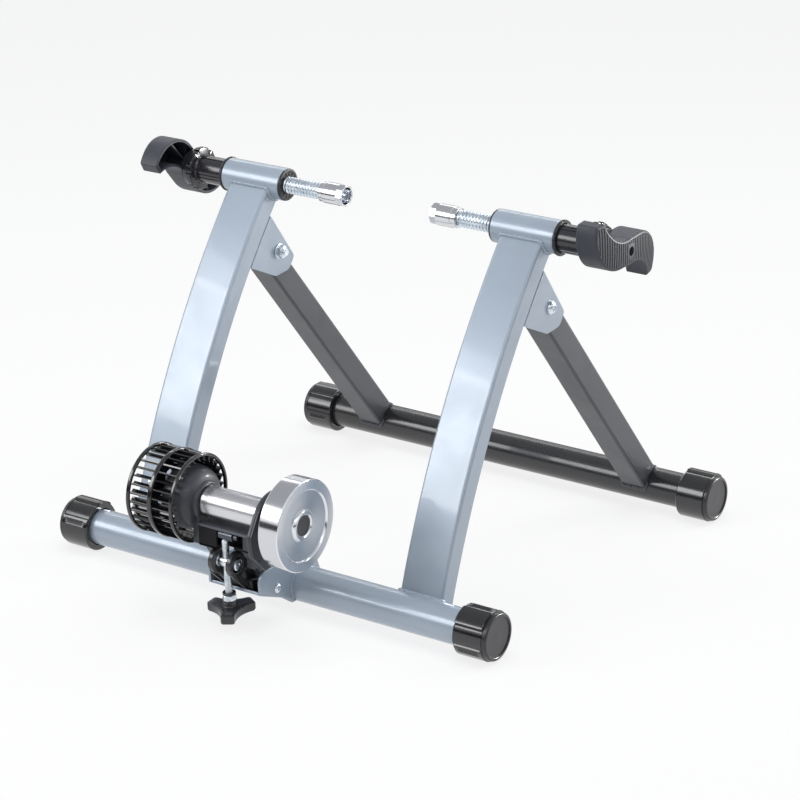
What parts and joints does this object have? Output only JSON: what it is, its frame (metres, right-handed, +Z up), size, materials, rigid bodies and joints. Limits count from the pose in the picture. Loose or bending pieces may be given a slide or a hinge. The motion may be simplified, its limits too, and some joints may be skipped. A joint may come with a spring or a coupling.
{
  "type": "folding bicycle turbo trainer",
  "caption": "Folding turbo trainer stand with a tilting roller unit, flywheel, fan and screw clamps that hold a bicycle's rear axle.",
  "frame": {"origin": "on the floor, at the middle of the bounding box in X and Y", "axes": "+X along the base tubes toward the flywheel side, +Y from the roller toward the rear tube, +Z up"},
  "size_m": [0.575, 0.583, 0.4062],
  "materials": {
    "silver_paint": "satin silver blue paint",
    "black_tube_paint": "gloss black paint",
    "dark_leg_paint": "satin dark grey paint",
    "black_bracket_paint": "satin black paint",
    "cap_plastic": "moulded black plastic, gloss bands",
    "knob_plastic": "grained dark grey plastic",
    "handle_plastic": "gloss black plastic",
    "fan_plastic": "gloss black plastic",
    "cradle_paint": "satin black paint",
    "zinc": "bright blue zinc plate",
    "chrome": "polished",
    "turned_steel": "fine turned"
  },
  "bodies": {
    "front_frame": {"front_base_tube": "silver_paint", "left_upright": "silver_paint", "right_upright": "silver_paint", "left_sleeve": "silver_paint", "right_sleeve": "silver_paint", "gusset_plates": "silver_paint", "unit_bracket": "silver_paint", "left_inner_bush": "handle_plastic", "right_inner_bush": "handle_plastic", "left_outer_bush": "handle_plastic", "right_outer_bush": "handle_plastic", "fold_bolts": "zinc", "fold_nuts": "zinc", "fold_washers": "zinc", "fold_spacers": "handle_plastic", "ear_bracket": "black_bracket_paint", "unit_bolt": "zinc", "unit_nut": "zinc"},
    "rear_frame": {"rear_base_tube": "black_tube_paint", "left_leg": "dark_leg_paint", "right_leg": "dark_leg_paint"},
    "front_left_foot": {"front_left_cap": "cap_plastic"},
    "front_right_foot": {"front_right_cap": "cap_plastic"},
    "rear_left_foot": {"rear_left_cap": "cap_plastic"},
    "rear_right_foot": {"rear_right_cap": "cap_plastic"},
    "left_cup": {"left_axle_cup": "chrome"},
    "right_cup": {"right_axle_cup": "chrome"},
    "left_handle": {"left_clamp_screw": "zinc", "left_handle_tube": "handle_plastic", "left_knob": "knob_plastic", "left_knob_screw": "zinc"},
    "right_handle": {"right_clamp_screw": "zinc", "right_handle_tube": "handle_plastic", "right_knob": "knob_plastic", "right_knob_screw": "zinc"},
    "roller_cradle": {"cradle": "cradle_paint", "cradle_bearings": "turned_steel"},
    "roller_group": {"roller_shaft": "turned_steel", "roller": "turned_steel", "flywheel": "chrome", "flywheel_plug": "fan_plastic", "fan": "fan_plastic", "fan_nut": "zinc"},
    "pin_body": {"cross_pin": "zinc"},
    "thrust_body": {"thrust_block": "zinc"},
    "adjuster": {"adjuster_rod": "zinc", "adjuster_nut": "zinc", "adjuster_knob": "handle_plastic"}
  },
  "joints": [
    {"name": "fold", "type": "hinge", "parent": "front_frame", "child": "rear_frame", "pos_m": [0, 0.0335, 0.2935], "axis": [1, 0, 0], "range_deg": [-69, 0]},
    {"name": "front_left_level", "type": "hinge", "parent": "front_frame", "child": "front_left_foot", "pos_m": [-0.25, -0.1715, 0.026], "axis": [1, 0, 0], "continuous": true},
    {"name": "front_right_level", "type": "hinge", "parent": "front_frame", "child": "front_right_foot", "pos_m": [0.25, -0.1715, 0.026], "axis": [1, 0, 0], "continuous": true},
    {"name": "rear_left_level", "type": "hinge", "parent": "rear_frame", "child": "rear_left_foot", "pos_m": [-0.25, 0.2655, 0.026], "axis": [1, 0, 0], "continuous": true},
    {"name": "rear_right_level", "type": "hinge", "parent": "rear_frame", "child": "rear_right_foot", "pos_m": [0.25, 0.2655, 0.026], "axis": [1, 0, 0], "continuous": true},
    {"name": "left_cup_slide", "type": "slide", "parent": "front_frame", "child": "left_cup", "axis": [1, 0, 0], "range_m": [-0.038, 0.025]},
    {"name": "right_cup_slide", "type": "slide", "parent": "front_frame", "child": "right_cup", "axis": [-1, 0, 0], "range_m": [-0.038, 0.025]},
    {"name": "left_clamp_spin", "type": "hinge", "parent": "left_cup", "child": "left_handle", "pos_m": [-0.2, 0.0325, 0.369], "axis": [1, 0, 0], "range_deg": [-3419, 2249]},
    {"name": "right_clamp_spin", "type": "hinge", "parent": "right_cup", "child": "right_handle", "pos_m": [0.2, 0.0325, 0.369], "axis": [-1, 0, 0], "range_deg": [-3419, 2249]},
    {"name": "cradle_tilt", "type": "hinge", "parent": "front_frame", "child": "roller_cradle", "pos_m": [0, -0.2135, 0.035], "axis": [-1, 0, 0], "range_deg": [0, 12]},
    {"name": "roller_spin", "type": "hinge", "parent": "roller_cradle", "child": "roller_group", "pos_m": [0, -0.2445, 0.126], "axis": [1, 0, 0], "continuous": true},
    {"name": "pin_turn", "type": "hinge", "parent": "front_frame", "child": "pin_body", "pos_m": [0, -0.2535, 0.07], "axis": [-1, 0, 0], "range_deg": [0, 23.1]},
    {"name": "rod_lift", "type": "slide", "parent": "pin_body", "child": "thrust_body", "axis": [0, -0.0872, 0.9962], "range_m": [0, 0.00814]},
    {"name": "adjuster_spin", "type": "hinge", "parent": "thrust_body", "child": "adjuster", "pos_m": [0, -0.2535, 0.07], "axis": [0, -0.0872, 0.9962], "range_deg": [0, 2342]}
  ],
  "couplings": [
    {"joint": "left_cup_slide", "follows": "left_clamp_spin", "m_per_rad": 0.00063662},
    {"joint": "right_cup_slide", "follows": "right_clamp_spin", "m_per_rad": 0.00063662},
    {"joint": "adjuster_spin", "follows": "cradle_tilt", "ratio": 195.03},
    {"joint": "pin_turn", "follows": "cradle_tilt", "ratio": 1.92},
    {"joint": "rod_lift", "follows": "cradle_tilt", "m_per_rad": 0.0388}
  ]
}
